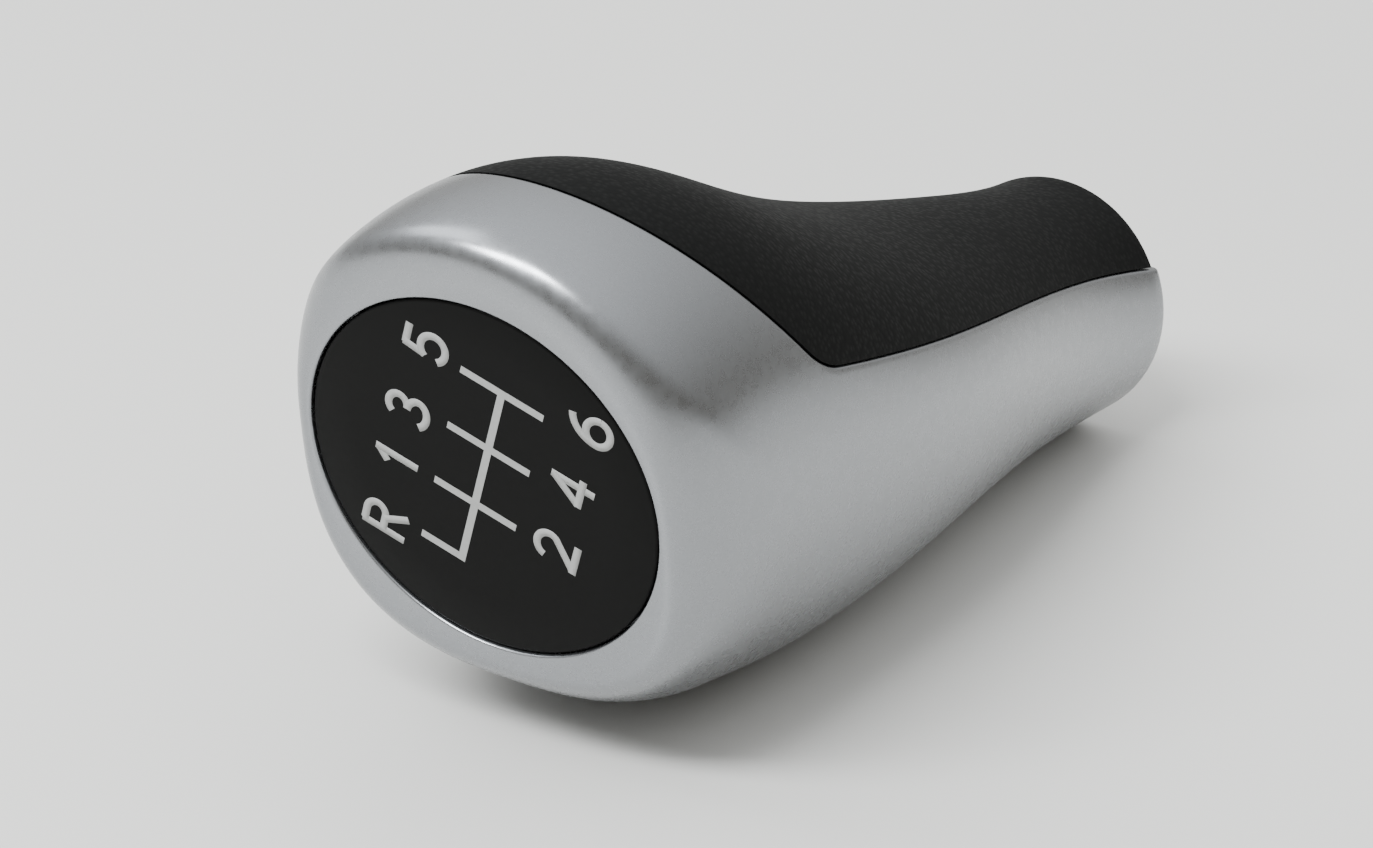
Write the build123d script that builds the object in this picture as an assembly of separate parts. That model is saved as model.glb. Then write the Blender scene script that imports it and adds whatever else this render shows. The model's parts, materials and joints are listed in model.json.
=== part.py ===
from build123d import *
import os
from math import cos, pi, radians, sin, sqrt, tan

os.makedirs("parts", exist_ok=True)

# A push-on gear knob lying on its side. Lengths are millimetres and angles degrees.
# +X runs from the face to the collar, +Y across the knob and +Z up from the table.

# Spine, from the middle of the face to the middle of the collar
LENGTH = 91.0
FACE_HEIGHT = 24.2
COLLAR_HEIGHT = 10.75
FACE_LEAN = 12.8  # the face looks this far down at the table
LEVER_DIP = 2.7  # the lever dips this far from the head to the collar

# Half sizes above the spine, below it and across it, from the head to the waist and neck
HEAD_UP, SHOULDER_UP, WAIST_UP, NECK_UP = 24.0, 15.3, 10.7, 11.3
HEAD_DOWN, SHOULDER_DOWN, WAIST_DOWN, NECK_DOWN = 21.8, 24.7, 20.0, 13.0
HEAD_ACROSS, SHOULDER_ACROSS, WAIST_ACROSS, NECK_ACROSS = 21.0, 19.2, 16.8, 12.8
COLLAR_RADIUS = 10.8
SHOULDER_AT, WAIST_AT, NECK_AT = 0.30, 0.55, 0.78  # shares of the spine
BELLY_SQUARENESS = 2.7  # 2 is an ellipse, more is a flatter underside

# Rounding of the head from the face back
FACE_SHARE = 0.80  # the flat face's part of the head's full section
DOME_DEPTH = 14.9
DOME_FULLNESS = 2.7
CROWN_LIFT = 0.26  # how far the dome would overshoot the crown, which leaves the crease
CROWN_FOCUS = 1.88  # how fast that overshoot dies out from the crown down the sides
CREASE_SOFTNESS = 0.10
COLLAR_EDGE = 0.8

# Grip pad, let into the upper side
PAD_THICKNESS = 1.6
PAD_POINT_X, PAD_POINT_Z = 19.2, 31.8
PAD_RISE = 47.0  # slope of its edge from the point up to the head
PAD_FALL = 12.7  # slope of its edge from the point down to the collar
PAD_POINT_RADIUS = 4.0
PAD_SETBACK = 1.5  # from the collar's end
PAD_JOINT = 0.15

# Pattern disc, pressed into the face, and the pocket behind it
DISC_UP, DISC_ACROSS = 15.6, 15.7
DISC_DROP = 0.2  # its middle below the spine
DISC_THICKNESS = 2.2
DISC_SINK = 0.2
DISC_JOINT = 0.12
SKIRT_HEIGHT = 3.5
SKIRT_WALL = 1.4
LEDGE = 2.0
POCKET_DEPTH = 24.0
POCKET_DRAFT = 8.0

# Lever socket in the collar, with its bore for the lever and for the lever's slimmer nose
LEVER_RADIUS = 5.0
LEVER_DEPTH = 32.0
NOSE_RADIUS = 4.2
NOSE_DEPTH = 10.0
SOCKET_WALL = 2.2
SOCKET_LENGTH = 46.0
SOCKET_SETBACK = 1.0
SOCKET_JOINT = 0.08
BORE_CHAMFER = 0.8
KEY_WIDTH, KEY_HEIGHT = 2.2, 0.8
KEY_TURNS = (0.0, 180.0, 270.0)  # round the lever, where 90 would be under the pad

# Spring clip that drops into the groove round the lever's nose
WIRE_RADIUS = 0.7
CLIP_INSET = 4.0  # past the lever's shoulder
CLIP_GRIP = 0.9  # how far each leg stands into the nose's bore
CLIP_LEG = 4.0
CLIP_JOINT = 0.1

# How finely the form is drawn
SECTION_POINTS = 24
STATIONS = 18
CROWDING = 2.0  # 1 spaces the stations evenly, more moves them towards the face

# Room that cutting shapes take past what they cut
CLEAR = 2 * LENGTH
CUT_START = 1.0
SEAT_OVERRUN = 0.04  # share of the spine, past the collar

# Sizes that follow from those above
seat_depth = DISC_SINK + DISC_THICKNESS
pocket_up = DISC_UP - LEDGE
pocket_across = DISC_ACROSS - LEDGE
socket_radius = LEVER_RADIUS + SOCKET_WALL
socket_end = SOCKET_SETBACK + SOCKET_LENGTH

across = Vector(0, 1, 0)
face_middle = Vector(0, 0, FACE_HEIGHT)
collar_middle = Vector(LENGTH, 0, COLLAR_HEIGHT)
face_inward = Vector(cos(radians(FACE_LEAN)), 0, sin(radians(FACE_LEAN)))
face_upward = Vector(-face_inward.Z, 0, face_inward.X)
lever_outward = Vector(cos(radians(LEVER_DIP)), 0, -sin(radians(LEVER_DIP)))
disc_plane = Plane(face_middle - face_upward * DISC_DROP, x_dir=face_upward, z_dir=face_inward * -1)
lever_plane = Plane(collar_middle, x_dir=across, z_dir=lever_outward)


def spine(share):
    """Place and direction on the spine, in the knob's middle plane."""
    third = (collar_middle - face_middle).length / 3
    reach = face_middle + face_inward * third
    aim = collar_middle - lever_outward * third
    rest = 1 - share
    place = face_middle * rest**3 + reach * (3 * share * rest**2)
    place += aim * (3 * share**2 * rest) + collar_middle * share**3
    heading = (reach - face_middle) * rest**2 + (aim - reach) * (2 * share * rest)
    heading += (collar_middle - aim) * share**2
    return place, heading.normalized()


def through(values, share):
    """Smooth curve through the head, shoulder, waist, neck and collar values."""
    at = (0.0, SHOULDER_AT, WAIST_AT, NECK_AT, 1.0)
    slopes = [(values[1] - values[0]) / (at[1] - at[0])]
    for k in range(1, 4):
        slopes.append((values[k + 1] - values[k - 1]) / (at[k + 1] - at[k - 1]))
    slopes.append(0.0)
    k = max(i for i in range(4) if share >= at[i])
    step = at[k + 1] - at[k]
    t = (share - at[k]) / step
    return (
        (2 * t**3 - 3 * t**2 + 1) * values[k]
        + (t**3 - 2 * t**2 + t) * step * slopes[k]
        + (3 * t**2 - 2 * t**3) * values[k + 1]
        + (t**3 - t**2) * step * slopes[k + 1]
    )


def rounding(depth, turn):
    """Share of the full section that is left at a depth behind the face."""
    crown = 1 + CROWN_LIFT * max(sin(turn), 0) ** CROWN_FOCUS
    reach = min(depth / DOME_DEPTH, 1)
    dome = FACE_SHARE + (crown - FACE_SHARE) * (1 - (1 - reach) ** DOME_FULLNESS) ** (1 / DOME_FULLNESS)
    dome += max(depth / DOME_DEPTH - 1, 0) / 2
    return (1 + dome - sqrt((1 - dome) ** 2 + CREASE_SOFTNESS**2)) / 2


def section(share, inset):
    """Closed outline across the spine, set in from the outer skin."""
    place, heading = spine(share)
    upward = Vector(-heading.Z, 0, heading.X)
    depth = share * (collar_middle - face_middle).length
    up = through((HEAD_UP, SHOULDER_UP, WAIST_UP, NECK_UP, COLLAR_RADIUS), share)
    down = through((HEAD_DOWN, SHOULDER_DOWN, WAIST_DOWN, NECK_DOWN, COLLAR_RADIUS), share)
    wide = through((HEAD_ACROSS, SHOULDER_ACROSS, WAIST_ACROSS, NECK_ACROSS, COLLAR_RADIUS), share)
    belly = 2 + (BELLY_SQUARENESS - 2) * (1 - share)
    points = []
    for k in range(SECTION_POINTS):
        turn = 2 * pi * k / SECTION_POINTS - pi / 2
        above = sin(turn) >= 0
        power = 1 if above else 2 / belly
        left = rounding(depth, turn)
        rise = ((up if above else down) * left - inset) * abs(sin(turn)) ** power
        side = (wide * left - inset) * abs(cos(turn)) ** power
        rise = rise if above else -rise
        side = side if cos(turn) >= 0 else -side
        points.append(place + upward * rise + across * side)
    return Wire([Spline(*points, periodic=True)])


def form(inset, overrun):
    """The knob's whole form, set in from the outer skin and run past the collar."""
    end = 1 + overrun
    shares = [end * (k / STATIONS) ** CROWDING for k in range(STATIONS + 1)]
    return Solid.make_loft([section(share, inset) for share in shares])


def pad_prism(joint):
    """The pad's side outline, less a joint all round, pushed right across the knob."""
    point = Vector(PAD_POINT_X, PAD_POINT_Z)
    head_end = point + Vector(-cos(radians(PAD_RISE)), sin(radians(PAD_RISE))) * CLEAR
    collar_end = point + Vector(cos(radians(PAD_FALL)), -sin(radians(PAD_FALL))) * CLEAR
    outline = make_face(Polyline(head_end, point, collar_end, (collar_end.X, head_end.Y), close=True))
    tip = outline.vertices().sort_by_distance(point)[0]
    rounded = offset(fillet(tip, PAD_POINT_RADIUS), -joint)
    return extrude(Plane.XZ * rounded, CLEAR, both=True)


def oval_plug(up, wide, start, end, draft=0.0):
    """Oval plug between two depths behind the face, narrowing by its draft."""
    less = (end - start) * tan(radians(draft))
    near = disc_plane.offset(-start) * Ellipse(up, wide)
    far = disc_plane.offset(-end) * Ellipse(up - less, wide - less)
    return loft([near.face(), far.face()], ruled=True)


def round_plug(radius, start, end):
    """Round plug between two depths inside the collar, on the lever's axis."""
    return extrude(lever_plane.offset(-end) * Circle(radius), end - start)


def keys(joint, start):
    """Ribs along the socket that stop it turning in the collar."""
    height = socket_radius + KEY_HEIGHT + joint
    bar = Pos(height / 2, 0) * Rectangle(height, KEY_WIDTH + 2 * joint)
    inner_end = lever_plane.offset(-socket_end)
    return [extrude(inner_end * Rot(0, 0, turn) * bar, socket_end - start) for turn in KEY_TURNS]


# Body shell: outer form, less the pad's seat, the disc's seat and pocket, and the socket's hole
skin = form(0, 0)
seat = form(PAD_THICKNESS, SEAT_OVERRUN)
shell = skin - (pad_prism(0) - seat)
shell = fillet(shell.faces().sort_by(Axis.X)[-1].edges(), COLLAR_EDGE)
shell -= oval_plug(DISC_UP + DISC_JOINT, DISC_ACROSS + DISC_JOINT, -CUT_START, seat_depth)
shell -= oval_plug(pocket_up, pocket_across, seat_depth, seat_depth + POCKET_DEPTH, POCKET_DRAFT)
shell -= round_plug(socket_radius + SOCKET_JOINT, -CUT_START, socket_end)
for key in keys(SOCKET_JOINT, -CUT_START):
    shell -= key

# Grip pad: the skin inside its outline, down to the seat, short of the collar's end
pad = skin & pad_prism(PAD_JOINT)
pad -= seat
pad -= extrude(lever_plane.offset(-PAD_SETBACK) * Rectangle(CLEAR, CLEAR), CLEAR)

# Pattern disc with the skirt that centres it in the pocket
skirt_end = seat_depth + SKIRT_HEIGHT
disc = oval_plug(DISC_UP, DISC_ACROSS, DISC_SINK, seat_depth)
skirt = oval_plug(pocket_up - DISC_JOINT, pocket_across - DISC_JOINT, seat_depth, skirt_end, POCKET_DRAFT)
hollow = DISC_JOINT + SKIRT_WALL
skirt -= oval_plug(pocket_up - hollow, pocket_across - hollow, seat_depth, skirt_end, POCKET_DRAFT)
disc += skirt

# Lever socket: keyed sleeve with a stepped blind bore, and a slot for the clip
socket = round_plug(socket_radius, SOCKET_SETBACK, socket_end)
for key in keys(0, SOCKET_SETBACK):
    socket += key
shoulder = SOCKET_SETBACK + LEVER_DEPTH
socket -= round_plug(LEVER_RADIUS, SOCKET_SETBACK - CUT_START, shoulder)
socket -= round_plug(NOSE_RADIUS, SOCKET_SETBACK, shoulder + NOSE_DEPTH)
mouth = socket.edges().filter_by(GeomType.CIRCLE).filter_by(lambda e: abs(e.radius - LEVER_RADIUS) < 1e-6)
socket = chamfer(mouth.sort_by(Axis.X)[-1], BORE_CHAMFER)

clip_plane = lever_plane.offset(-shoulder - CLIP_INSET)
leg = NOSE_RADIUS - CLIP_GRIP + WIRE_RADIUS
bend_rise = socket_radius - 2 * CLIP_JOINT - WIRE_RADIUS - leg
slot_half = WIRE_RADIUS + CLIP_JOINT
slot_top = Pos(0, (CLEAR - CLIP_LEG - CLIP_JOINT) / 2)
slot = slot_top * Rectangle(2 * (leg + slot_half), CLEAR + CLIP_LEG + CLIP_JOINT)
socket -= extrude(clip_plane.offset(-slot_half) * slot, 2 * slot_half)

# Retaining clip: spring wire bent to a U, its legs standing into the bore
right_leg = Line((leg, -CLIP_LEG), (leg, bend_rise))
bend = CenterArc((0, bend_rise), leg, 0, 180)
left_leg = Line((-leg, bend_rise), (-leg, -CLIP_LEG))
wire = clip_plane * (right_leg + bend + left_leg)
wire_start = clip_plane.from_local_coords(Vector(leg, -CLIP_LEG))
clip = sweep(Plane(wire_start, z_dir=clip_plane.y_dir) * Circle(WIRE_RADIUS), wire)

# All pieces moved together, so that the knob rests on Z 0 with its box centred on the origin
box = shell.bounding_box()
rest = Pos(-box.center().X, 0, -box.min.Z)
pieces = {
    "body_shell": shell,
    "grip_pad": pad,
    "pattern_disc": disc,
    "lever_socket": socket,
    "retaining_clip": clip,
}
for name, piece in pieces.items():
    export_step(rest * piece, f"parts/{name}.step")
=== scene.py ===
import json
from math import cos, pi, radians, sin, tan

import bmesh
import bpy
import numpy as np
from mathutils import Matrix


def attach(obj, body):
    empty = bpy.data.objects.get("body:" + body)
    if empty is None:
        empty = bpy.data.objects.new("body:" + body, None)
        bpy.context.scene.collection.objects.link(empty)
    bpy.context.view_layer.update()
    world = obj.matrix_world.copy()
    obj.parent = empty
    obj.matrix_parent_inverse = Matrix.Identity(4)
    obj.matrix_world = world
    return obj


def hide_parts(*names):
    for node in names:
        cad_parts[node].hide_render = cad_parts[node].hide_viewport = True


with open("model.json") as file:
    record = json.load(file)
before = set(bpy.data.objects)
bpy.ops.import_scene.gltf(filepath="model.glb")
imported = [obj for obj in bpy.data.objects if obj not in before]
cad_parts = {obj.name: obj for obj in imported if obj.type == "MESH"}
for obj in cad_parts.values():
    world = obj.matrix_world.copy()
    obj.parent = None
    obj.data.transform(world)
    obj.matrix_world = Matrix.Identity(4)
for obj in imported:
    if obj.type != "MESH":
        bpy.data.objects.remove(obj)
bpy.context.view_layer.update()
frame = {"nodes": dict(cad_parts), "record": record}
scene = bpy.context.scene


# The camera stands a little above the table and looks at the face three quarters on.
# The knob's collar is placed by the bore for the lever, which the record gives.
# Lengths are millimetres, here and below, unless a note says metres.
MM = 0.001
bore = frame["record"]["mounts"][0]
BORE_CHAMFER = 0.8
SOCKET_SETBACK = 1.0
lever_out = np.array(bore["axis"])
past_bore = bore["dims"]["length_mm"] / 2 + BORE_CHAMFER + SOCKET_SETBACK
collar_middle = np.array(bore["pos_m"]) / MM + lever_out * past_bore

IMAGE_WIDTH = 1373
FOCAL_PIXELS = 6432.0
SENSOR_WIDTH = 36.0
NEAREST = 0.01  # metres
AZIMUTH, ELEVATION, ROLL = radians(-58.93), radians(23.30), radians(3.54)
TARGET = collar_middle + np.array((-45.5, 0.0, 14.3))
DISTANCE = 521.8
SLIDE_RIGHT, SLIDE_UP = -8.94, -10.64

level = np.array((cos(AZIMUTH), sin(AZIMUTH), 0.0))
back = np.array((sin(AZIMUTH) * cos(ELEVATION), -cos(AZIMUTH) * cos(ELEVATION), sin(ELEVATION)))
upright = np.cross(back, level)
right = cos(ROLL) * level + sin(ROLL) * upright
top = cos(ROLL) * upright - sin(ROLL) * level
eye = (TARGET + DISTANCE * back + SLIDE_RIGHT * right + SLIDE_UP * top) * MM


def placed(x_axis, y_axis, z_axis, origin):
    """Matrix that puts a thing's own axes and origin at a place."""
    rows = np.column_stack((x_axis, y_axis, z_axis, origin))
    return Matrix([*rows.tolist(), [0, 0, 0, 1]])


camera = bpy.data.objects.new("camera", bpy.data.cameras.new("camera"))
camera.data.sensor_width = SENSOR_WIDTH
camera.data.lens = FOCAL_PIXELS * SENSOR_WIDTH / IMAGE_WIDTH
camera.data.clip_start = NEAREST
camera.matrix_world = placed(right, top, back, eye)
scene.collection.objects.link(camera)
scene.camera = camera


# Table top that the knob lies on: a pale laminate board with a faint cloudiness and a dull shine.
# It is only the stage, and no piece of the knob.
def shader(name, colour, roughness, metallic=0.0):
    """A new material with its node tree and shader, at its plain values."""
    material = bpy.data.materials.new(name)
    material.use_nodes = True
    tree = material.node_tree
    bsdf = tree.nodes["Principled BSDF"]
    bsdf.inputs["Base Color"].default_value = (*colour, 1.0)
    bsdf.inputs["Roughness"].default_value = roughness
    bsdf.inputs["Metallic"].default_value = metallic
    return material, tree, bsdf


def on_object(tree, kind, **sizes):
    """A texture on the piece's own coordinates. A scale is in grains to the metre."""
    where = tree.nodes.new("ShaderNodeTexCoord")
    texture = tree.nodes.new(kind)
    for name, value in sizes.items():
        texture.inputs[name].default_value = value
    tree.links.new(where.outputs["Object"], texture.inputs["Vector"])
    return texture


def spread(tree, source, target, lowest, highest, start=0.3, end=0.7):
    """Drives a shader's entry by a texture, from one value to another."""
    span = tree.nodes.new("ShaderNodeMapRange")
    span.inputs["From Min"].default_value = start
    span.inputs["From Max"].default_value = end
    span.inputs["To Min"].default_value = lowest
    span.inputs["To Max"].default_value = highest
    tree.links.new(source, span.inputs["Value"])
    tree.links.new(span.outputs["Result"], target)


def tint(tree, source, target, dark, light):
    """Drives a shader's colour by a texture, from one colour to another."""
    mix = tree.nodes.new("ShaderNodeMix")
    mix.data_type = "RGBA"
    colours = [socket for socket in mix.inputs if socket.type == "RGBA"]
    colours[0].default_value = (*dark, 1.0)
    colours[1].default_value = (*light, 1.0)
    tree.links.new(source, mix.inputs["Factor"])
    tree.links.new([socket for socket in mix.outputs if socket.type == "RGBA"][0], target)


def piece(name, mesh, material):
    """A new object in the scene with one finish, its place in its mesh."""
    mesh.materials.clear()
    mesh.materials.append(material)
    thing = bpy.data.objects.new(name, mesh)
    scene.collection.objects.link(thing)
    return thing


TABLE_HALF = 2.0 / MM
DARK_CLOUD, LIGHT_CLOUD = (0.635, 0.631, 0.613), (0.685, 0.681, 0.663)
laminate, tree, bsdf = shader("pale_laminate", (0.62, 0.62, 0.60), 0.42)
clouds = on_object(tree, "ShaderNodeTexNoise", Scale=9.0, Detail=3.0)
tint(tree, clouds.outputs["Fac"], bsdf.inputs["Base Color"], DARK_CLOUD, LIGHT_CLOUD)
mesh = bpy.data.meshes.new("table_top")
corners = [(-1, -1), (1, -1), (1, 1), (-1, 1)]
mesh.from_pydata([(x * TABLE_HALF * MM, y * TABLE_HALF * MM, 0) for x, y in corners], [], [(0, 1, 2, 3)])
piece("table_top", mesh, laminate)


# Soft room light: a broad lamp overhead and behind on the left, a window in front on the left,
# and walls that are darker near the horizon than the ceiling is.
def panel(name, direction, distance, sizes, long_way, power, colour):
    """A soft light that faces the knob from a direction, its longer side along a way. Sizes are metres."""
    lamp = bpy.data.lights.new(name, "AREA")
    lamp.shape = "RECTANGLE"
    lamp.size, lamp.size_y = sizes
    lamp.energy = power
    lamp.color = colour
    outward = np.array(direction) / np.linalg.norm(direction)
    along = np.array(long_way) - outward * np.dot(outward, long_way)
    along = along / np.linalg.norm(along)
    light = bpy.data.objects.new(name, lamp)
    light.matrix_world = placed(along, np.cross(outward, along), outward, outward * distance)
    scene.collection.objects.link(light)


CEILING_WAY = (0.14, 0.14, 0.98)  # the brightest part of the room is nearly overhead
WALL_COLOUR, CEILING_COLOUR = (0.24, 0.222, 0.187), (1.72, 1.75, 1.76)
WALL_FROM, CEILING_FROM = 0.05, 0.95
ROOM_STRENGTH = 0.96
world = bpy.data.worlds.new("room")
world.use_nodes = True
tree = world.node_tree
background = tree.nodes["Background"]
where = tree.nodes.new("ShaderNodeTexCoord")
lit_side = tree.nodes.new("ShaderNodeVectorMath")
lit_side.operation = "DOT_PRODUCT"
lit_side.inputs[1].default_value = CEILING_WAY
tree.links.new(where.outputs["Generated"], lit_side.inputs[0])
span = tree.nodes.new("ShaderNodeMapRange")
span.inputs["From Min"].default_value = WALL_FROM
span.inputs["From Max"].default_value = CEILING_FROM
tree.links.new(lit_side.outputs["Value"], span.inputs["Value"])
tint(tree, span.outputs["Result"], background.inputs["Color"], WALL_COLOUR, CEILING_COLOUR)
background.inputs["Strength"].default_value = ROOM_STRENGTH
scene.world = world
panel(
    "lamp",
    direction=(-0.12, 0.66, 0.74),
    distance=1.1,
    sizes=(0.6, 0.6),
    long_way=(1, 0, 0),
    power=3.6,
    colour=(0.95, 0.98, 1.0),
)
panel(
    "window",
    direction=(-0.62, 0.14, 0.75),
    distance=1.2,
    sizes=(0.80, 0.28),
    long_way=(0.16, -0.57, 0.31),
    power=26.0,
    colour=(0.97, 0.99, 1.0),
)


# Body shell: a hollow plastic moulding, head, waist and collar in one, sprayed with satin silver paint.
# It is drawn as sections across a bent spine, and the dome behind the face meets the crown in a crease.
# It is cut away along its upper side for the pad, in its face for the disc, in its collar for the sleeve.
LENGTH, FACE_HEIGHT, COLLAR_HEIGHT = 91.0, 24.2, 10.75
FACE_LEAN = radians(12.8)
# Half sizes above the spine, below it and across it, at five places along it
UP_SIZES = (20.6, 15.1, 11.2, 11.2, 10.8)
DOWN_SIZES = (21.3, 24.15, 19.95, 13.0, 10.8)
ACROSS_SIZES = (19.72, 19.1, 16.8, 12.8, 10.8)
SIZE_SHARES = np.array((0.0, 0.30, 0.55, 0.78, 1.0))  # head, shoulder, waist, neck and collar
UP_SLOPE, DOWN_SLOPE, ACROSS_SLOPE = 28.0, 11.0, -2.0  # how the sizes set out from the face
BELLY_SQUARENESS = 2.7  # 2 is an ellipse, more is a flatter underside
FACE_SHARE = 0.82  # the flat face's part of the head's full section
DOME_DEPTH, DOME_FULLNESS = 13.9, 2.12  # how the head rounds off behind the face
CROWN_LIFT = 0.28  # how far the dome would overshoot the crown, which leaves the crease
CROWN_FOCUS = 1.5  # how fast that overshoot dies out from the crown down the sides
CREASE_SOFTNESS = 0.06
COLLAR_EDGE = 0.8
PAD_POINT = np.array((19.2, 0.0, 31.8))
PAD_RISE = radians(47.0)  # slope of the pad's edge from its point up to the head
PAD_FALL = radians(12.7)  # slope of the pad's edge from its point down to the collar
PAD_POINT_RADIUS = 8.0
PAD_THICKNESS = 1.6
LIP_EDGE = 0.25  # rounding of the recess's lip and of the seat's rim
SEAT_UP, SEAT_ACROSS, SEAT_DEPTH = 15.72, 15.82, 2.4
DISC_DROP = 0.2  # the disc's middle below the spine
LEDGE = 2.12  # what the disc sits on, round the pocket
POCKET_DEPTH = 24.0
POCKET_LESS = 3.0  # how much slimmer the pocket's bottom is than its mouth
SLEEVE_HOLE, HOLE_DEPTH = 7.28, 47.0
KEY_HOLE, KEY_HALF = 8.08, 1.18
KEY_TURNS = (0.0, 180.0, 270.0)  # round the lever, where 90 is under the pad

across = np.array((0.0, 1.0, 0.0))
inward = np.array((cos(FACE_LEAN), 0.0, sin(FACE_LEAN)))
upward = np.array((-sin(FACE_LEAN), 0.0, cos(FACE_LEAN)))
knob_origin = collar_middle - np.array((LENGTH, 0.0, COLLAR_HEIGHT))
face_middle = knob_origin + np.array((0.0, 0.0, FACE_HEIGHT))
disc_middle = face_middle - DISC_DROP * upward
chord = np.linalg.norm(collar_middle - face_middle)
spine_reach = face_middle + inward * chord / 3
spine_aim = collar_middle - lever_out * chord / 3


def spine(share):
    """Place, direction and upright of the knob's bent middle line, at shares of its length."""
    share = share[..., None]
    rest = 1 - share
    place = face_middle * rest**3 + spine_reach * (3 * share * rest**2)
    place = place + spine_aim * (3 * share**2 * rest) + collar_middle * share**3
    heading = (spine_reach - face_middle) * rest**2 + (spine_aim - spine_reach) * (2 * share * rest)
    heading = heading + (collar_middle - spine_aim) * share**2
    heading = heading / np.linalg.norm(heading, axis=-1, keepdims=True)
    lift = np.stack((-heading[..., 2], 0 * heading[..., 1], heading[..., 0]), -1)
    return place, heading, lift


def half_size(sizes, share, first_slope=0.0):
    """Smooth line through the sizes at the head, shoulder, waist, neck and collar."""
    at, sizes = SIZE_SHARES, np.array(sizes)
    gaps = np.diff(at)
    rule = np.eye(len(at))
    goal = np.zeros(len(at))
    goal[0] = first_slope
    for n in range(1, len(gaps)):
        before, after = 1 / gaps[n - 1], 1 / gaps[n]
        rule[n, n - 1 : n + 2] = before, 2 * (before + after), after
        goal[n] = 3 * ((sizes[n] - sizes[n - 1]) * before**2 + (sizes[n + 1] - sizes[n]) * after**2)
    slopes = np.linalg.solve(rule, goal)
    k = np.clip(np.searchsorted(at, share, side="right") - 1, 0, len(gaps) - 1)
    step = at[k + 1] - at[k]
    t = (share - at[k]) / step
    line = (2 * t**3 - 3 * t**2 + 1) * sizes[k] + (t**3 - 2 * t**2 + t) * step * slopes[k]
    return line + (3 * t**2 - 2 * t**3) * sizes[k + 1] + (t**3 - t**2) * step * slopes[k + 1]


def rise_and_side(share, turn, inset):
    """How far a point of the skin, or set in from it, lies above the spine and beside it."""
    above = np.sin(turn) >= 0
    power = np.where(above, 1.0, 2 / (2 + (BELLY_SQUARENESS - 2) * (1 - share)))
    crown = np.maximum(np.sin(turn), 0) ** CROWN_FOCUS
    deep = share * chord / DOME_DEPTH
    swell = (1 - (1 - np.clip(deep, 0, 1)) ** DOME_FULLNESS) ** (1 / DOME_FULLNESS)
    dome = FACE_SHARE + (1 + CROWN_LIFT * crown - FACE_SHARE) * swell + np.maximum(deep - 1, 0) / 2
    left = (1 + dome - np.hypot(1 - dome, CREASE_SOFTNESS * crown)) / 2
    upper_size = half_size(UP_SIZES, share, UP_SLOPE)
    lower_size = half_size(DOWN_SIZES, share, DOWN_SLOPE)
    tall = np.where(above, upper_size, lower_size) * left - inset
    wide = half_size(ACROSS_SIZES, share, ACROSS_SLOPE) * left - inset
    rise = np.where(above, tall, -tall) * np.abs(np.sin(turn)) ** power
    return rise, wide * np.abs(np.cos(turn)) ** power


def skin(spots, inset=0.0):
    """Points of the knob's skin, or set in from it, at shares and turns round the spine."""
    share, turn = spots[..., 0], spots[..., 1]
    place, heading, lift = spine(share)
    rise, side = rise_and_side(share, turn, inset)
    return place + lift * rise[..., None] + across * side[..., None]


HALVINGS = 45


def halved(low, high, is_low):
    """Narrows values down to where a test turns over."""
    for _ in range(HALVINGS):
        middle = (low + high) / 2
        under = is_low(middle)
        low, high = np.where(under, middle, low), np.where(under, high, middle)
    return (low + high) / 2


def outline(along, joint):
    """The pad's side outline by length from its point, forward below zero, less a joint."""
    bend = (PAD_RISE - PAD_FALL) / 2
    facing = (PAD_RISE + PAD_FALL) / 2
    radius = PAD_POINT_RADIUS - joint
    centre = np.array((sin(facing), 0.0, cos(facing))) * PAD_POINT_RADIUS / cos(bend)
    centre = knob_origin + PAD_POINT + centre
    arc = np.clip(along, -bend * radius, bend * radius)
    lean = (facing - arc / radius)[..., None]
    spots = centre - radius * np.concatenate((np.sin(lean), 0 * lean, np.cos(lean)), -1)
    run = (along - arc)[..., None]
    return spots + run * np.concatenate((np.cos(lean), 0 * lean, -np.sin(lean)), -1)


PAST_COLLAR = 1.1  # the spine can be read a little past its end


def on_skin(spots, inset=0.0):
    """The shares and turns where the skin has points of the side view."""
    flat = np.zeros(spots.shape[:-1])

    def ahead(share):
        place, heading, lift = spine(share)
        return ((spots - place) * heading).sum(-1) > 0

    share = halved(flat, flat + PAST_COLLAR, ahead)
    place, heading, lift = spine(share)
    height = ((spots - place) * lift).sum(-1)
    turn = halved(flat - pi / 2, flat + pi / 2, lambda t: rise_and_side(share, t, inset)[0] < height)
    return np.stack((share, turn), -1)


LIP_STEPS, SIDE_STEPS = 64, 80
LONGEST_FRONT, LONGEST_SIDE = 60.0, 120.0
FRONT_CROWDING, SIDE_CROWDING = 1.8, 1.3  # 1 is an even spacing
NEARLY_CROWN = pi / 2 - 1e-6


def pad_edge(joint, inset, end_share):
    """The pad's edge on the skin, from its point up to the crown and from its point back to an end."""
    start = np.zeros(1)
    tip = halved(
        start - LONGEST_FRONT, start, lambda s: on_skin(outline(s, joint), inset)[..., 1] > NEARLY_CROWN
    )
    end = halved(
        start, start + LONGEST_SIDE, lambda s: on_skin(outline(s, joint))[..., 0] < end_share
    )
    front = tip * (1 - (1 - np.linspace(0, 1, LIP_STEPS + 1)) ** FRONT_CROWDING)
    side = end * np.linspace(0, 1, SIDE_STEPS + 1) ** SIDE_CROWDING
    return outline(front, joint), outline(side, joint)


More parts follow.
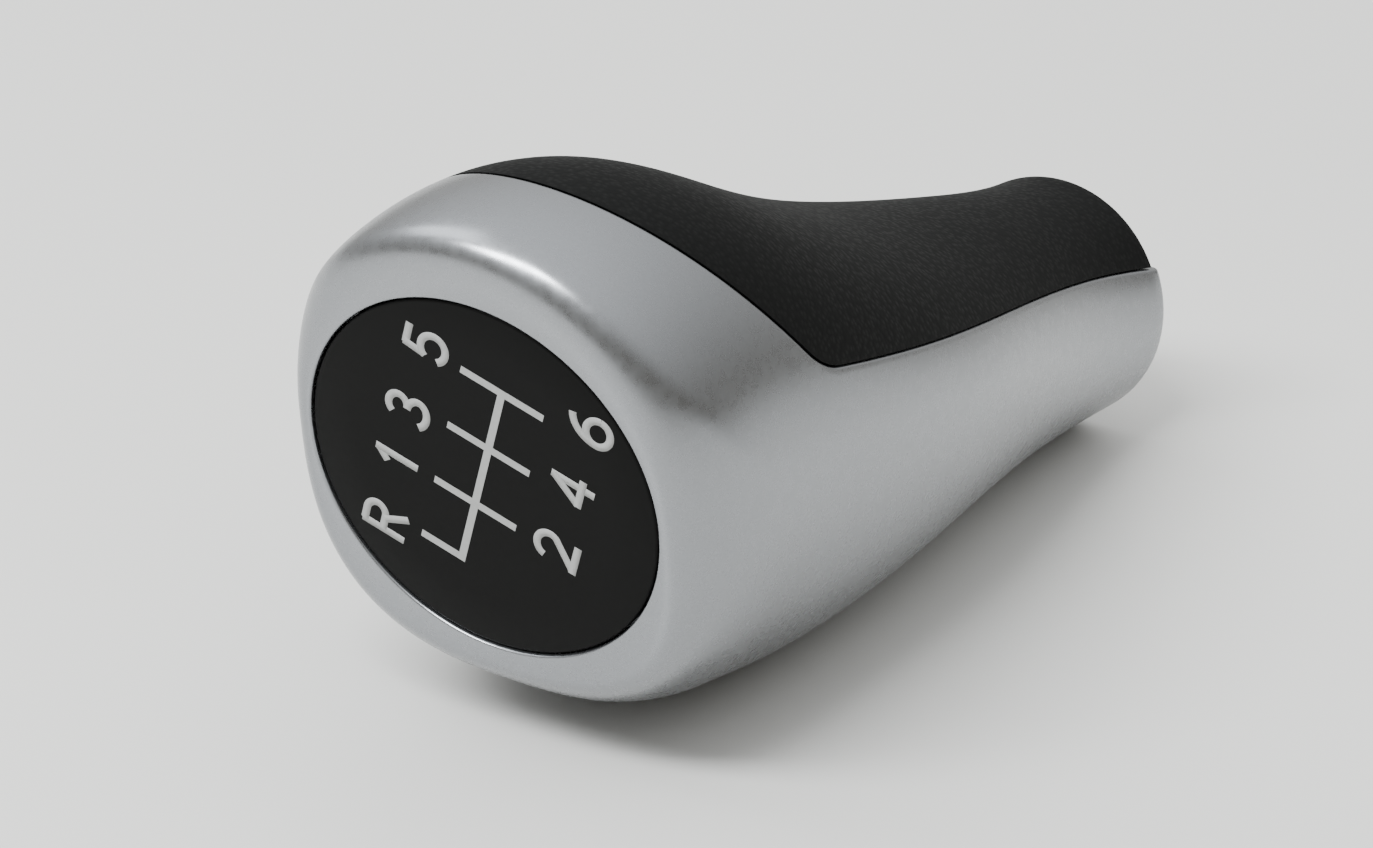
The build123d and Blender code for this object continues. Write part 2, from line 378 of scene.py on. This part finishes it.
def patch(low, high, first, last):
    """Grid of shares and turns between four lines that meet at the corners."""
    # Spaced as the low line is, so that no point runs out in front of the face
    u = ((low[:, 0] - low[0, 0]) / (low[-1, 0] - low[0, 0]))[None, :, None]
    v = np.linspace(0, 1, len(first))[:, None, None]
    edges = (1 - v) * low + v * high + (1 - u) * first[:, None] + u * last[:, None]
    ends = (1 - v) * ((1 - u) * low[0] + u * low[-1]) + v * ((1 - u) * high[0] + u * high[-1])
    return edges - ends


def straight(start, end, steps, crowding=1.0):
    """Points between two spots, closer together near the first."""
    share = np.linspace(0, 1, steps + 1)[:, None] ** crowding
    return np.array(start) * (1 - share) + np.array(end) * share


def sheet(made, grid):
    """Lays a grid of points as faces, once on each side of the knob's middle plane."""
    for mirror in (1.0, -1.0):
        rows = [[made.verts.new(spot * (MM, MM * mirror, MM)) for spot in row] for row in grid]
        for near, far in zip(rows, rows[1:]):
            for k in range(len(near) - 1):
                made.faces.new((near[k], near[k + 1], far[k + 1], far[k]))


MERGED, SLIVER = 2e-7, 1e-7  # metres
SOFT_ANGLE, SMOOTH_ANGLE = 0.6, radians(40)


def closed_mesh(name, made, soft_points, width):
    """Joins a moulding's sheets, rounds its soft edges and gives its mesh."""
    bmesh.ops.remove_doubles(made, verts=made.verts[:], dist=MERGED)
    bmesh.ops.dissolve_degenerate(made, edges=made.edges[:], dist=SLIVER)
    bmesh.ops.recalc_face_normals(made, faces=made.faces[:])
    known = {tuple(np.round(spot * MM, 6)) for spot in soft_points}
    weight = made.edges.layers.float.new("bevel_weight_edge")
    soft = {v for v in made.verts if tuple(np.round((v.co.x, abs(v.co.y), v.co.z), 6)) in known}
    for edge in made.edges:
        if edge.verts[0] in soft and edge.verts[1] in soft and edge.calc_face_angle(0.0) > SOFT_ANGLE:
            edge[weight] = 1.0
    base = bpy.data.meshes.new(name)
    made.to_mesh(base)
    made.free()
    thing = bpy.data.objects.new(name, base)
    scene.collection.objects.link(thing)
    rounding = thing.modifiers.new("rounding", "BEVEL")
    rounding.limit_method = "WEIGHT"
    rounding.width = width * MM
    rounding.segments = 3
    mesh = bpy.data.meshes.new_from_object(thing.evaluated_get(bpy.context.evaluated_depsgraph_get()))
    bpy.data.objects.remove(thing)
    mesh.shade_smooth()
    mesh.set_sharp_from_angle(angle=SMOOTH_ANGLE)
    return mesh


# The skin in two sheets a side, one from the face up to the pad's front edge, one back to the collar
FRONT_STEPS, ROUND_STEPS = 60, 52
FACE_CROWDING = 2.0
collar_share = 1 - COLLAR_EDGE / chord
front_edge, side_edge = pad_edge(0.0, 0.0, collar_share)
front_lip, side_lip = on_skin(front_edge), on_skin(side_edge)
lip_turn = front_lip[0][1]
cut = straight((0.0, lip_turn), front_lip[0], FRONT_STEPS, FACE_CROWDING)
crown = straight((0.0, pi / 2), front_lip[-1], FRONT_STEPS, FACE_CROWDING)
face_upper = straight((0.0, lip_turn), (0.0, pi / 2), LIP_STEPS)
face_lower = straight((0.0, -pi / 2), (0.0, lip_turn), ROUND_STEPS)
upper = np.concatenate((cut, side_lip[1:]))
belly = np.column_stack((upper[:, 0], np.full(len(upper), -pi / 2)))
end_arc = straight((collar_share, -pi / 2), side_lip[-1], ROUND_STEPS)
side_grid = skin(patch(belly, upper, face_lower, end_arc))
rolls, rolled = [], []
for angle in np.radians((22.5, 45, 67.5, 90)):
    share = collar_share + (1 - collar_share) * sin(angle)
    inset = COLLAR_EDGE * (1 - cos(angle))
    rolls.append((share, inset))
    rolled.append(skin(np.column_stack((np.full(len(end_arc), share), end_arc[:, 1])), inset))
shell = bmesh.new()
sheet(shell, skin(patch(cut, crown, face_upper, front_lip)))
sheet(shell, np.concatenate((side_grid, np.stack(rolled, 1)), 1))

# The recess under the pad: its wall runs straight across the knob, and its floor follows the skin
SEAT_STEPS = 10
front_foot, side_foot = pad_edge(0.0, PAD_THICKNESS, collar_share)
lip_low = np.concatenate((front_foot[::-1], side_foot[1:]))
lip_top = np.concatenate((skin(front_lip)[::-1], skin(side_lip)[1:], [row[-1] for row in rolled]))
seat_edge = on_skin(lip_low, PAD_THICKNESS)
seat_points = [(spot, PAD_THICKNESS) for spot in seat_edge]
seat_points += [(np.array((share, seat_edge[-1][1])), PAD_THICKNESS + inset) for share, inset in rolls]
lip_foot = np.stack([skin(spot, inset) for spot, inset in seat_points])
sheet(shell, np.stack((lip_top, lip_foot)))
floor_rows = []
for spot, inset in seat_points:
    floor_rows.append(skin(straight(spot, (spot[0], pi / 2), SEAT_STEPS), inset))
sheet(shell, np.stack(floor_rows))

# The face with its seat for the disc and the pocket behind it
rim = np.concatenate((skin(face_lower), skin(face_upper)[1:]))
angles = np.arctan2(rim[:, 1], (rim - disc_middle) @ upward)


def oval(up, wide, depth):
    """Oval about the disc's middle, with a point for each of the rim's."""
    above = np.outer(up * np.cos(angles), upward)
    beside = np.outer(wide * np.sin(angles), across)
    return disc_middle + inward * depth + above + beside


seat_rim = oval(SEAT_UP, SEAT_ACROSS, 0.0)
pocket = (SEAT_UP - LEDGE, SEAT_ACROSS - LEDGE)
bottom = (pocket[0] - POCKET_LESS, pocket[1] - POCKET_LESS)
face_rows = [rim, seat_rim, oval(SEAT_UP, SEAT_ACROSS, SEAT_DEPTH), oval(*pocket, SEAT_DEPTH)]
face_rows += [oval(*bottom, POCKET_DEPTH), oval(0.0, 0.0, POCKET_DEPTH)]
sheet(shell, np.stack(face_rows))

# The collar's end with the keyed hole for the sleeve
end_place, end_heading, end_lift = spine(np.array(1.0))
end_line = np.concatenate((rolled[-1], floor_rows[-1]))
turns = np.arctan2((end_line - end_place) @ end_lift, end_line[:, 1])
in_key = np.zeros(len(turns), bool)
for key in KEY_TURNS:
    gap = np.abs((turns - radians(key) + pi) % (2 * pi) - pi)
    in_key |= KEY_HOLE * np.sin(np.minimum(gap, pi / 2)) < KEY_HALF
reach = np.where(in_key, KEY_HOLE, SLEEVE_HOLE)
mouth = end_place + np.outer(reach * np.sin(turns), end_lift) + np.outer(reach * np.cos(turns), across)
hole_end = np.repeat([end_place - HOLE_DEPTH * end_heading], len(mouth), 0)
sheet(shell, np.stack((end_line, mouth, mouth - HOLE_DEPTH * end_heading, hole_end)))
shell_mesh = closed_mesh("body_shell_skin", shell, np.concatenate((lip_top, seat_rim)), LIP_EDGE)


def rounded_edges(tree, radius):
    """Takes the sharpness off a moulding's edges, as moulds do."""
    edge = tree.nodes.new("ShaderNodeBevel")
    edge.samples = 6
    edge.inputs["Radius"].default_value = radius * MM
    return edge.outputs["Normal"]


def relief(tree, source, bsdf, height, normal=None, strength=1.0):
    """Raises a texture from the surface by a height in millimetres."""
    bump = tree.nodes.new("ShaderNodeBump")
    bump.inputs["Strength"].default_value = strength
    bump.inputs["Distance"].default_value = height * MM
    tree.links.new(source, bump.inputs["Height"])
    if normal:
        tree.links.new(normal, bump.inputs["Normal"])
    tree.links.new(bump.outputs["Normal"], bsdf.inputs["Normal"])


def finish(node, material):
    """Gives a solid of the frame its finish."""
    mesh = frame["nodes"][node].data
    mesh.materials.clear()
    mesh.materials.append(material)


def fitted(name, mesh, material, node):
    """A finished piece in the place of a solid of the frame."""
    thing = piece(name, mesh, material)
    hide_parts(node)
    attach(thing, "root")


DARK_FLAKE, LIGHT_FLAKE = (0.262, 0.271, 0.285), (0.286, 0.295, 0.310)
PEEL = 0.0003  # height of the paint's orange peel
silver, tree, bsdf = shader("satin_silver_paint", (0.47, 0.48, 0.50), 0.28, 0.95)
flake = on_object(tree, "ShaderNodeTexVoronoi", Scale=9000.0)
tint(tree, flake.outputs["Color"], bsdf.inputs["Base Color"], DARK_FLAKE, LIGHT_FLAKE)
peel = on_object(tree, "ShaderNodeTexNoise", Scale=1100.0, Detail=2.0)
spread(tree, peel.outputs["Fac"], bsdf.inputs["Roughness"], 0.25, 0.31)
relief(tree, peel.outputs["Fac"], bsdf, PEEL)
fitted("body_shell_skin", shell_mesh, silver, "body_shell")


# Lever socket: a moulded sleeve of black nylon, which carries the bore for the lever.
# It is pushed into the collar, and three keys along it keep it from turning there.
SOCKET_EDGE, SOCKET_GRAIN = 0.15, 0.01
nylon, tree, bsdf = shader("nylon", (0.020, 0.020, 0.021), 0.5)
cloud = on_object(tree, "ShaderNodeTexNoise", Scale=900.0, Detail=3.0)
spread(tree, cloud.outputs["Fac"], bsdf.inputs["Roughness"], 0.42, 0.58)
relief(tree, cloud.outputs["Fac"], bsdf, SOCKET_GRAIN, rounded_edges(tree, SOCKET_EDGE))
finish("lever_socket", nylon)


# Retaining clip: bright drawn spring wire, bent to a U and dropped into the sleeve's slot.
# Its legs stand into the bore, where they catch the groove round the lever's nose.
wire, tree, bsdf = shader("spring_wire", (0.55, 0.55, 0.56), 0.25, 1.0)
drawn = on_object(tree, "ShaderNodeTexNoise", Scale=3000.0, Detail=2.0)
spread(tree, drawn.outputs["Fac"], bsdf.inputs["Roughness"], 0.18, 0.34)
finish("retaining_clip", wire)


# Pattern disc: black satin plastic with a rounded rim, turned to a skirt behind, and pressed into the face.
# Its axes are those of the face, which leans down at the table.
DISC_RADIUS = 15.6
DISC_STRETCH = 0.1  # a little wider than it is high
DISC_SINK = 0.2  # its front below the face
DISC_BACK = 2.4
DISC_EDGE = 0.3
SKIRT_OUTER, SKIRT_INNER = 13.48, 12.08
SKIRT_END = 5.9
SKIRT_DRAFT = radians(8.0)
DISC_SIDES = 128
DISC_SHARP = radians(35)
DISC_GRAIN, DISC_GLOSS = 0.004, 0.07
less = (SKIRT_END - DISC_BACK) * tan(SKIRT_DRAFT)
profile = [(share * (DISC_RADIUS - DISC_EDGE), DISC_SINK) for share in (0.25, 0.5, 0.75, 1.0)]
for angle in (pi / 8, pi / 4, 3 * pi / 8):
    profile.append((DISC_RADIUS - DISC_EDGE * (1 - sin(angle)), DISC_SINK + DISC_EDGE * (1 - cos(angle))))
profile += [(DISC_RADIUS, DISC_SINK + DISC_EDGE), (DISC_RADIUS, DISC_BACK), (SKIRT_OUTER, DISC_BACK)]
profile += [(SKIRT_OUTER - less, SKIRT_END), (SKIRT_INNER - less, SKIRT_END), (SKIRT_INNER, DISC_BACK)]
turned = bmesh.new()
loops = []
for radius, depth in profile:
    loop = []
    for k in range(DISC_SIDES):
        turn = 2 * pi * k / DISC_SIDES
        spot = radius * cos(turn) * upward + (radius + DISC_STRETCH) * sin(turn) * across
        loop.append(turned.verts.new((disc_middle + inward * depth + spot) * MM))
    loops.append(loop)
for near, far in zip(loops, loops[1:]):
    for k in range(DISC_SIDES):
        j = (k + 1) % DISC_SIDES
        turned.faces.new((near[k], near[j], far[j], far[k]))
for loop, depth in ((loops[0], DISC_SINK), (loops[-1], DISC_BACK)):
    middle = turned.verts.new((disc_middle + inward * depth) * MM)
    for k in range(DISC_SIDES):
        turned.faces.new((middle, loop[k], loop[(k + 1) % DISC_SIDES]))
bmesh.ops.recalc_face_normals(turned, faces=turned.faces[:])
mesh = bpy.data.meshes.new("pattern_disc_face")
turned.to_mesh(mesh)
turned.free()
mesh.shade_smooth()
mesh.set_sharp_from_angle(angle=DISC_SHARP)

disc_black, tree, bsdf = shader("satin_black", (0.0016, 0.0016, 0.0015), 0.38)
bsdf.inputs["Specular IOR Level"].default_value = DISC_GLOSS
speck = on_object(tree, "ShaderNodeTexNoise", Scale=2500.0, Detail=3.0)
spread(tree, speck.outputs["Fac"], bsdf.inputs["Roughness"], 0.33, 0.43)
relief(tree, speck.outputs["Fac"], bsdf, DISC_GRAIN)
fitted("pattern_disc_face", mesh, disc_black, "pattern_disc")


# Shift pattern: light grey ink, screen printed on the disc as a gate with four lanes and seven marks.
# It is turned in the face, so that it stands upright on the lever with its right side at the pad.
PRINT_TURN = radians(-17.5)
LANE_STEP = 5.83
LANE_REACH = 3.8
LANES_RIGHT, LANES_UP = 0.14, 0.17  # the gate's middle from the disc's
LINE_WIDTH = 0.66
INK = 0.03
INK_STEP = 0.003  # strokes that cross lie at heights this far apart
MARK_HEIGHT, MARK_WIDTH = 3.5, 3.3
print_right = cos(PRINT_TURN) * upward + sin(PRINT_TURN) * across
print_up = cos(PRINT_TURN) * across - sin(PRINT_TURN) * upward
print_place = placed(print_right, print_up, -inward, disc_middle * MM + inward * DISC_SINK * MM)

DARK_INK, LIGHT_INK = (0.25, 0.253, 0.248), (0.33, 0.334, 0.33)
ink, tree, bsdf = shader("light_grey_ink", (0.42, 0.425, 0.42), 0.5)
worn = on_object(tree, "ShaderNodeTexNoise", Scale=1800.0, Detail=3.0)
tint(tree, worn.outputs["Fac"], bsdf.inputs["Base Color"], DARK_INK, LIGHT_INK)
spread(tree, worn.outputs["Fac"], bsdf.inputs["Roughness"], 0.45, 0.60)


def tree_of_nodes(name, **sizes):
    """A new geometry tree with a geometry in, a geometry out and named lengths in metres."""
    group = bpy.data.node_groups.new(name, "GeometryNodeTree")
    group.interface.new_socket("Geometry", in_out="INPUT", socket_type="NodeSocketGeometry")
    group.interface.new_socket("Geometry", in_out="OUTPUT", socket_type="NodeSocketGeometry")
    for label in sizes:
        group.interface.new_socket(label, in_out="INPUT", socket_type="NodeSocketFloat")
    return group, group.nodes.new("NodeGroupInput"), group.nodes.new("NodeGroupOutput")


def grown(name, mesh, group, **sizes):
    """The plain mesh that a geometry tree makes from a mesh, with the tree's lengths set."""
    base = bpy.data.objects.new(name, mesh)
    scene.collection.objects.link(base)
    modifier = base.modifiers.new(name, "NODES")
    modifier.node_group = group
    for item in group.interface.items_tree:
        if item.name in sizes:
            modifier[item.identifier] = sizes[item.name] * MM
    evaluated = base.evaluated_get(bpy.context.evaluated_depsgraph_get())
    result = bpy.data.meshes.new_from_object(evaluated)
    base.modifiers.remove(modifier)
    bpy.data.objects.remove(base)
    return result


def coated(group, shapes, outlet):
    """Ends a geometry tree: its shapes made real and covered with ink."""
    real = group.nodes.new("GeometryNodeRealizeInstances")
    group.links.new(shapes, real.inputs["Geometry"])
    coat = group.nodes.new("GeometryNodeSetMaterial")
    coat.inputs["Material"].default_value = ink
    group.links.new(real.outputs["Geometry"], coat.inputs["Geometry"])
    group.links.new(coat.outputs["Geometry"], outlet.inputs["Geometry"])


def inked(name, mesh):
    """Lays printed shapes, drawn flat about the origin, on the disc."""
    mesh.transform(print_place)
    print_piece = piece(name, mesh, ink)
    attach(print_piece, "root")


# The gate is one bar across and a bar for each lane, of which the first, for reverse, is half as long
LANE_COUNT = 4
gate_sizes = {"Step": LANE_STEP, "Reach": LANE_REACH, "Width": LINE_WIDTH, "Ink": INK}
group, entry, outlet = tree_of_nodes("shift_gate", **gate_sizes)


def gate_inputs(node, values):
    """Sets a node's entries, each to a number or to what another node gives."""
    for socket, value in zip(node.inputs, values):
        if isinstance(value, (int, float)):
            socket.default_value = value
        else:
            group.links.new(value, socket)


def gate_math(operation, *values):
    """Arithmetic on the gate's lengths."""
    node = group.nodes.new("ShaderNodeMath")
    node.operation = operation
    gate_inputs(node, values)
    return node.outputs["Value"]


def gate_vector(x, y, z):
    """Three of the gate's lengths as a size or a place."""
    node = group.nodes.new("ShaderNodeCombineXYZ")
    gate_inputs(node, (x, y, z))
    return node.outputs["Vector"]


def gate_bar(length_x, length_y, middle):
    """A flat bar of ink."""
    bar = group.nodes.new("GeometryNodeMeshCube")
    group.links.new(gate_vector(length_x, length_y, entry.outputs["Ink"]), bar.inputs["Size"])
    moved = group.nodes.new("GeometryNodeTransform")
    group.links.new(bar.outputs["Mesh"], moved.inputs["Geometry"])
    group.links.new(middle, moved.inputs["Translation"])
    return moved.outputs["Geometry"]


step, reach, width = (entry.outputs[name] for name in ("Step", "Reach", "Width"))
lanes = group.nodes.new("GeometryNodeMeshLine")
lanes.inputs["Count"].default_value = LANE_COUNT
first_lane = gate_math("MULTIPLY", step, (1 - LANE_COUNT) / 2)
group.links.new(gate_vector(first_lane, 0, 0), lanes.inputs["Start Location"])
group.links.new(gate_vector(step, 0, 0), lanes.inputs["Offset"])
index = group.nodes.new("GeometryNodeInputIndex").outputs["Index"]
joined = group.nodes.new("GeometryNodeJoinGeometry")
half_lane = gate_bar(width, reach, gate_vector(0, gate_math("MULTIPLY", reach, 0.5), 0))
whole_lane = gate_bar(width, gate_math("MULTIPLY", reach, 2.0), gate_vector(0, 0, 0))
for lane, comparison in ((half_lane, "LESS_THAN"), (whole_lane, "GREATER_THAN")):
    chosen = group.nodes.new("GeometryNodeInstanceOnPoints")
    group.links.new(lanes.outputs["Mesh"], chosen.inputs["Points"])
    group.links.new(lane, chosen.inputs["Instance"])
    group.links.new(gate_math(comparison, index, 0.5), chosen.inputs["Selection"])
    group.links.new(chosen.outputs["Instances"], joined.inputs["Geometry"])
bar_length = gate_math("ADD", gate_math("MULTIPLY", step, LANE_COUNT - 1), width)
cross_bar = gate_bar(bar_length, width, gate_vector(0, 0, INK_STEP * MM))
group.links.new(cross_bar, joined.inputs["Geometry"])
coated(group, joined.outputs["Geometry"], outlet)
mesh = grown("shift_gate", bpy.data.meshes.new("gate_base"), group, **gate_sizes)
mesh.transform(Matrix.Translation((LANES_RIGHT * MM, LANES_UP * MM, 0)))
inked("shift_gate", mesh)


# Each mark is drawn with the middle line of its strokes, in a box one wide and one high
def bow(x, y, wide, high, start, end):
    """Points along an arc, in degrees."""
    turns = np.radians(np.linspace(start, end, 2 + int(abs(end - start) / 9)))
    return [(x + wide * cos(t), y + high * sin(t)) for t in turns]


marks = {
    "1": [[(0.22, 0.70), (0.58, 1.0)], [(0.56, 1.06), (0.56, -0.06)]],
    "2": [bow(0.48, 0.71, 0.42, 0.29, 170, -32) + [(0.03, 0.0)], [(-0.06, 0.0), (0.98, 0.0)]],
    "3": [bow(0.45, 0.76, 0.37, 0.24, 155, -90), bow(0.45, 0.26, 0.45, 0.26, 90, -155)],
    "4": [[(0.68, 1.06), (0.68, -0.06)], [(0.68, 1.0), (0.04, 0.27)], [(-0.04, 0.27), (0.98, 0.27)]],
    "5": [[(0.88, 1.0), (0.12, 1.0)], [(0.17, 1.06), (0.10, 0.50)], bow(0.44, 0.32, 0.45, 0.32, 148, -150)],
    "6": [bow(0.47, 0.31, 0.44, 0.31, 0, 360), bow(0.86, 0.31, 0.83, 0.71, 180, 98)],
    "R": [
        [(0.06, 1.06), (0.06, -0.06)],
        [(0.06, 1.0), (0.50, 1.0)] + bow(0.52, 0.755, 0.36, 0.245, 90, -90)[1:] + [(0.06, 0.51)],
        [(0.46, 0.51), (0.90, -0.06)],
    ],
}
mark_places = {
    "R": (-9.35, 7.25),
    "1": (-3.0, 7.5),
    "3": (2.3, 7.5),
    "5": (9.3, 7.2),
    "2": (-2.4, -7.3),
    "4": (4.05, -7.3),
    "6": (10.55, -7.6),
}
stroke_sizes = {"Width": LINE_WIDTH, "Ink": INK}
group, entry, outlet = tree_of_nodes("mark_strokes", **stroke_sizes)
path = group.nodes.new("GeometryNodeMeshToCurve")
group.links.new(entry.outputs["Geometry"], path.inputs["Mesh"])
flat = group.nodes.new("GeometryNodeSetCurveNormal")
flat.mode = "Z_UP"
group.links.new(path.outputs["Curve"], flat.inputs["Curve"])
nib = group.nodes.new("GeometryNodeCurvePrimitiveQuadrilateral")
group.links.new(entry.outputs["Width"], nib.inputs["Width"])
group.links.new(entry.outputs["Ink"], nib.inputs["Height"])
stroke = group.nodes.new("GeometryNodeCurveToMesh")
stroke.inputs["Fill Caps"].default_value = True
group.links.new(flat.outputs["Curve"], stroke.inputs["Curve"])
group.links.new(nib.outputs["Curve"], stroke.inputs["Profile Curve"])
coated(group, stroke.outputs["Mesh"], outlet)

points, edges = [], []
for mark, strokes in marks.items():
    middle_x, middle_y = mark_places[mark]
    for k, line in enumerate(strokes):
        first = len(points)
        for x, y in line:
            right_by = middle_x + (x - 0.5) * (MARK_WIDTH - LINE_WIDTH)
            up_by = middle_y + (y - 0.5) * MARK_HEIGHT
            points.append((right_by * MM, up_by * MM, k * INK_STEP * MM))
        edges += [(n, n + 1) for n in range(first, len(points) - 1)]
drawing = bpy.data.meshes.new("marks_base")
drawing.from_pydata(points, edges, [])
inked("shift_marks", grown("shift_marks", drawing, group, **stroke_sizes))


# Grip pad: a soft-touch skin with a fine leather grain, moulded separately and bonded into its recess.
# Its upper face carries on the line of the shell, and its edge is rolled over a little all round.
PAD_JOINT = 0.15  # open joint between its edge and the recess
PAD_SETBACK = 1.5  # from the collar's end
PAD_EDGE = 0.35
PAD_LAY = 0.02  # how far its underside stays off the recess's floor
PAD_GRAIN, PAD_GLOSS = 0.05, 0.08
pad_end = 1 - PAD_SETBACK / chord


def pad_face(inset):
    """The pad's upper face or its underside, from the crown to its edge."""
    front, side = pad_edge(PAD_JOINT, inset, pad_end)
    front = on_skin(front, inset)[::-1]
    side = on_skin(side, inset)
    ridge = straight((front[0][0], pi / 2), (pad_end, pi / 2), SIDE_STEPS, SIDE_CROWDING)
    back = straight((pad_end, pi / 2), side[-1], LIP_STEPS)
    return skin(patch(ridge, side, front, back), inset)


def border(grid):
    """The edge of a grid that isn't on the knob's middle plane."""
    return np.concatenate((grid[:, 0], grid[-1, 1:], grid[-2::-1, -1]))


pad = bmesh.new()
upper_face, under_face = pad_face(0.0), pad_face(PAD_THICKNESS - PAD_LAY)
sheet(pad, upper_face)
sheet(pad, under_face)
sheet(pad, np.stack((border(upper_face), border(under_face))))
pad_mesh = closed_mesh("grip_pad_skin", pad, border(upper_face), PAD_EDGE)

pad_skin, tree, bsdf = shader("grained_soft_touch", (0.0034, 0.0036, 0.0035), 0.62)
bsdf.inputs["Specular IOR Level"].default_value = PAD_GLOSS
grain = on_object(tree, "ShaderNodeTexVoronoi", Scale=1900.0)
spread(tree, grain.outputs["Distance"], bsdf.inputs["Roughness"], 0.52, 0.72, 0.0, 0.6)
relief(tree, grain.outputs["Distance"], bsdf, PAD_GRAIN, strength=0.6)
fitted("grip_pad_skin", pad_mesh, pad_skin, "grip_pad")
